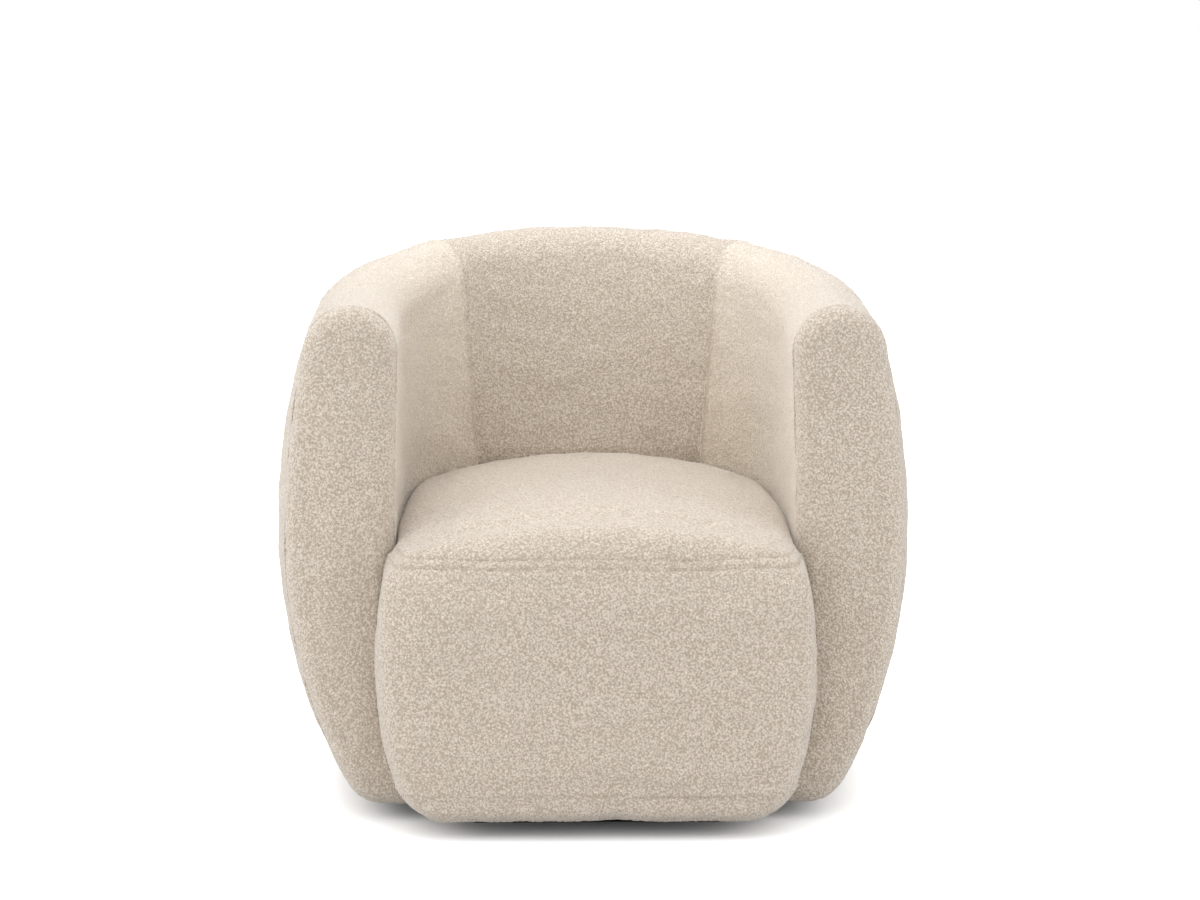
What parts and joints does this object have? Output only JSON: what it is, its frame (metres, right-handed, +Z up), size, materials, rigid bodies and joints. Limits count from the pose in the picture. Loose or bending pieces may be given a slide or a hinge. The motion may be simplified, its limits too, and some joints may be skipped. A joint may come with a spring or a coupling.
{
  "type": "tub chair",
  "caption": "Upholstered swivel tub chair with a wraparound arm and back shell, a crowned seat on a boxed front and a low round base.",
  "frame": {"origin": "the swivel axis on the floor, under the middle of the chair", "axes": "+Z up, the chair's front faces -Y, +X to the sitter's left as seen from behind the chair's front"},
  "size_m": [0.828, 0.8, 0.716],
  "materials": {
    "boucle": "looped cream boucle upholstery cloth",
    "foam": "open-cell upholstery foam",
    "plywood": "bare birch plywood and softwood",
    "black_board": "board painted matt black",
    "black_steel": "black powder coat",
    "bright_steel": "zinc-plated steel",
    "rubber_pad": "soft black rubber",
    "cage_plastic": "moulded plastic",
    "dust_cloth": "black non-woven cloth",
    "webbing": "woven jute",
    "felt": "grey needle felt",
    "liner_board": "grey-brown fibre card"
  },
  "bodies": {
    "base": {"base_disc": "black_board", "floor_pads": "rubber_pad", "swivel_lower_plate": "black_steel", "swivel_pin": "bright_steel", "base_screws": "bright_steel"},
    "ball_race": {"ball_cage": "cage_plastic", "bearing_balls": "bright_steel"},
    "chair": {"arm_front_cover_left": "boucle", "arm_front_cover_right": "boucle", "arm_front_pad_left": "foam", "arm_front_pad_right": "foam", "arm_front_rib_left": "plywood", "arm_front_rib_right": "plywood", "arm_rib_left": "plywood", "arm_rib_right": "plywood", "back_rib_left": "plywood", "back_rib_right": "plywood", "board_screws": "bright_steel", "chassis_board": "plywood", "corner_blocks": "plywood", "dust_cover": "dust_cloth", "front_batten": "plywood", "front_pad": "foam", "front_panel_cover": "boucle", "front_rail": "plywood", "hem_band_cover": "boucle", "inner_webbing": "webbing", "inside_arm_cover_left": "boucle", "inside_arm_cover_right": "boucle", "inside_arm_foam_left": "foam", "inside_arm_foam_right": "foam", "inside_back_cover": "boucle", "inside_back_foam": "foam", "outer_liner": "liner_board", "outside_arm_cover_left": "boucle", "outside_arm_cover_right": "boucle", "outside_arm_foam_left": "foam", "outside_arm_foam_right": "foam", "outside_back_cover": "boucle", "outside_back_foam": "foam", "quarter_rib_left": "plywood", "quarter_rib_right": "plywood", "rear_rail": "plywood", "rib_spacers": "plywood", "seat_foam": "foam", "seat_top_cover": "boucle", "side_rail_left": "plywood", "side_rail_right": "plywood", "side_rib_left": "plywood", "side_rib_right": "plywood", "sinuous_springs": "bright_steel", "skirt_batten": "plywood", "spring_clips": "bright_steel", "spring_insulator": "felt", "swivel_upper_plate": "black_steel", "top_rail": "plywood"}
  },
  "joints": [
    {"name": "swivel", "type": "hinge", "parent": "base", "child": "chair", "pos_m": [0, 0, 0.026], "axis": [0, 0, 1], "continuous": true},
    {"name": "ball_race_spin", "type": "hinge", "parent": "base", "child": "ball_race", "pos_m": [0, 0, 0.026], "axis": [0, 0, 1], "continuous": true}
  ],
  "couplings": [
    {"joint": "ball_race_spin", "follows": "swivel", "ratio": 0.5}
  ]
}
